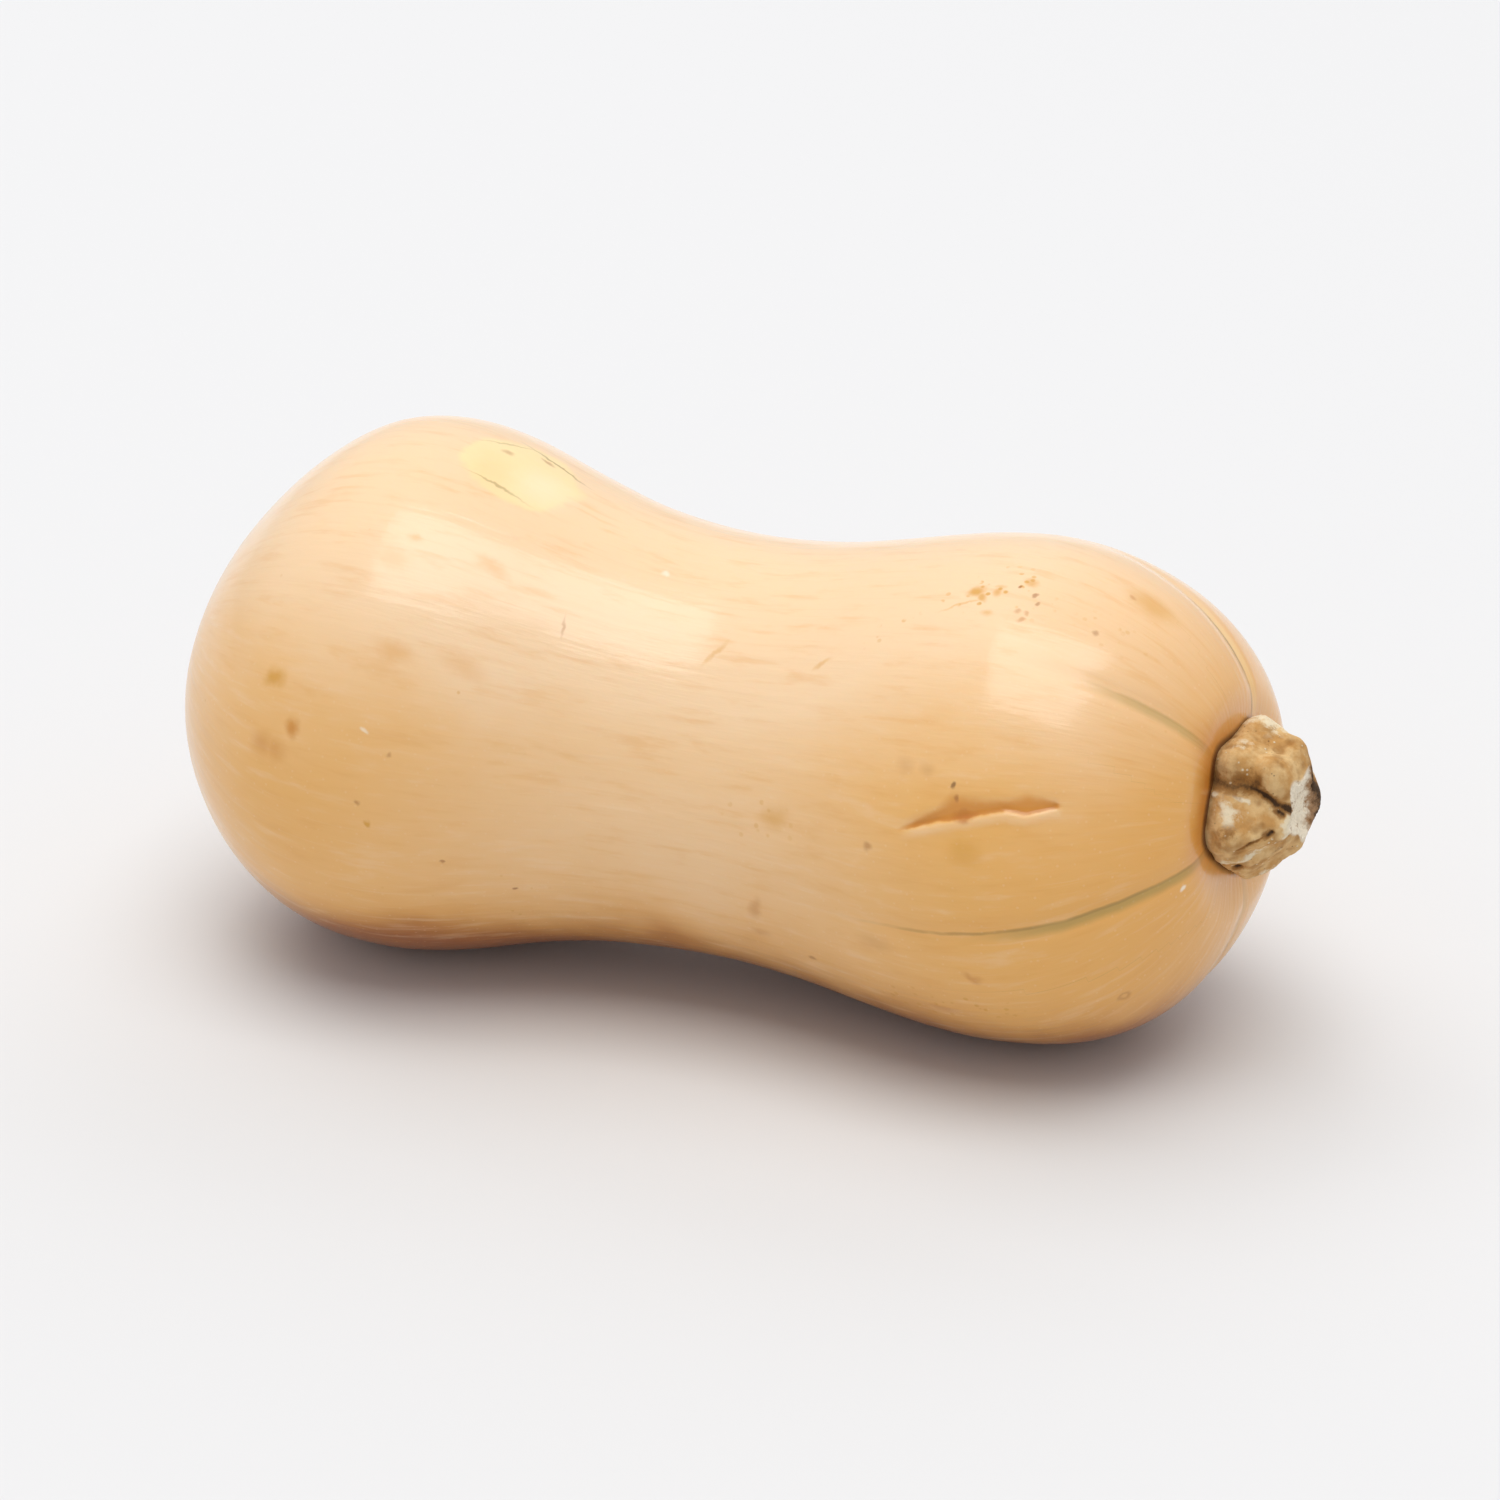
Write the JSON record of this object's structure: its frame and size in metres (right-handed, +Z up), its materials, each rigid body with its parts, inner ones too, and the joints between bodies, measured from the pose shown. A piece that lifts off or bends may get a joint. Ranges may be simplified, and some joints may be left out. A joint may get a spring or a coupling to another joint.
{
  "type": "butternut squash",
  "caption": "Whole butternut squash lying on its side: a round seed bulb, a slimmer waist and a solid neck with shoulder grooves and a cut stem stump.",
  "frame": {"origin": "middle of the bottom of the part's box, on the surface that the squash rests on", "axes": "+X along the fruit from the blossom end to the stem end, +Z up, -Y towards the viewer"},
  "size_m": [0.2346, 0.1114, 0.1085],
  "materials": {
    "skin": "satin",
    "stem_cork": "matte"
  },
  "bodies": {
    "root": {"fruit": "skin", "stem": "stem_cork"}
  },
  "joints": []
}
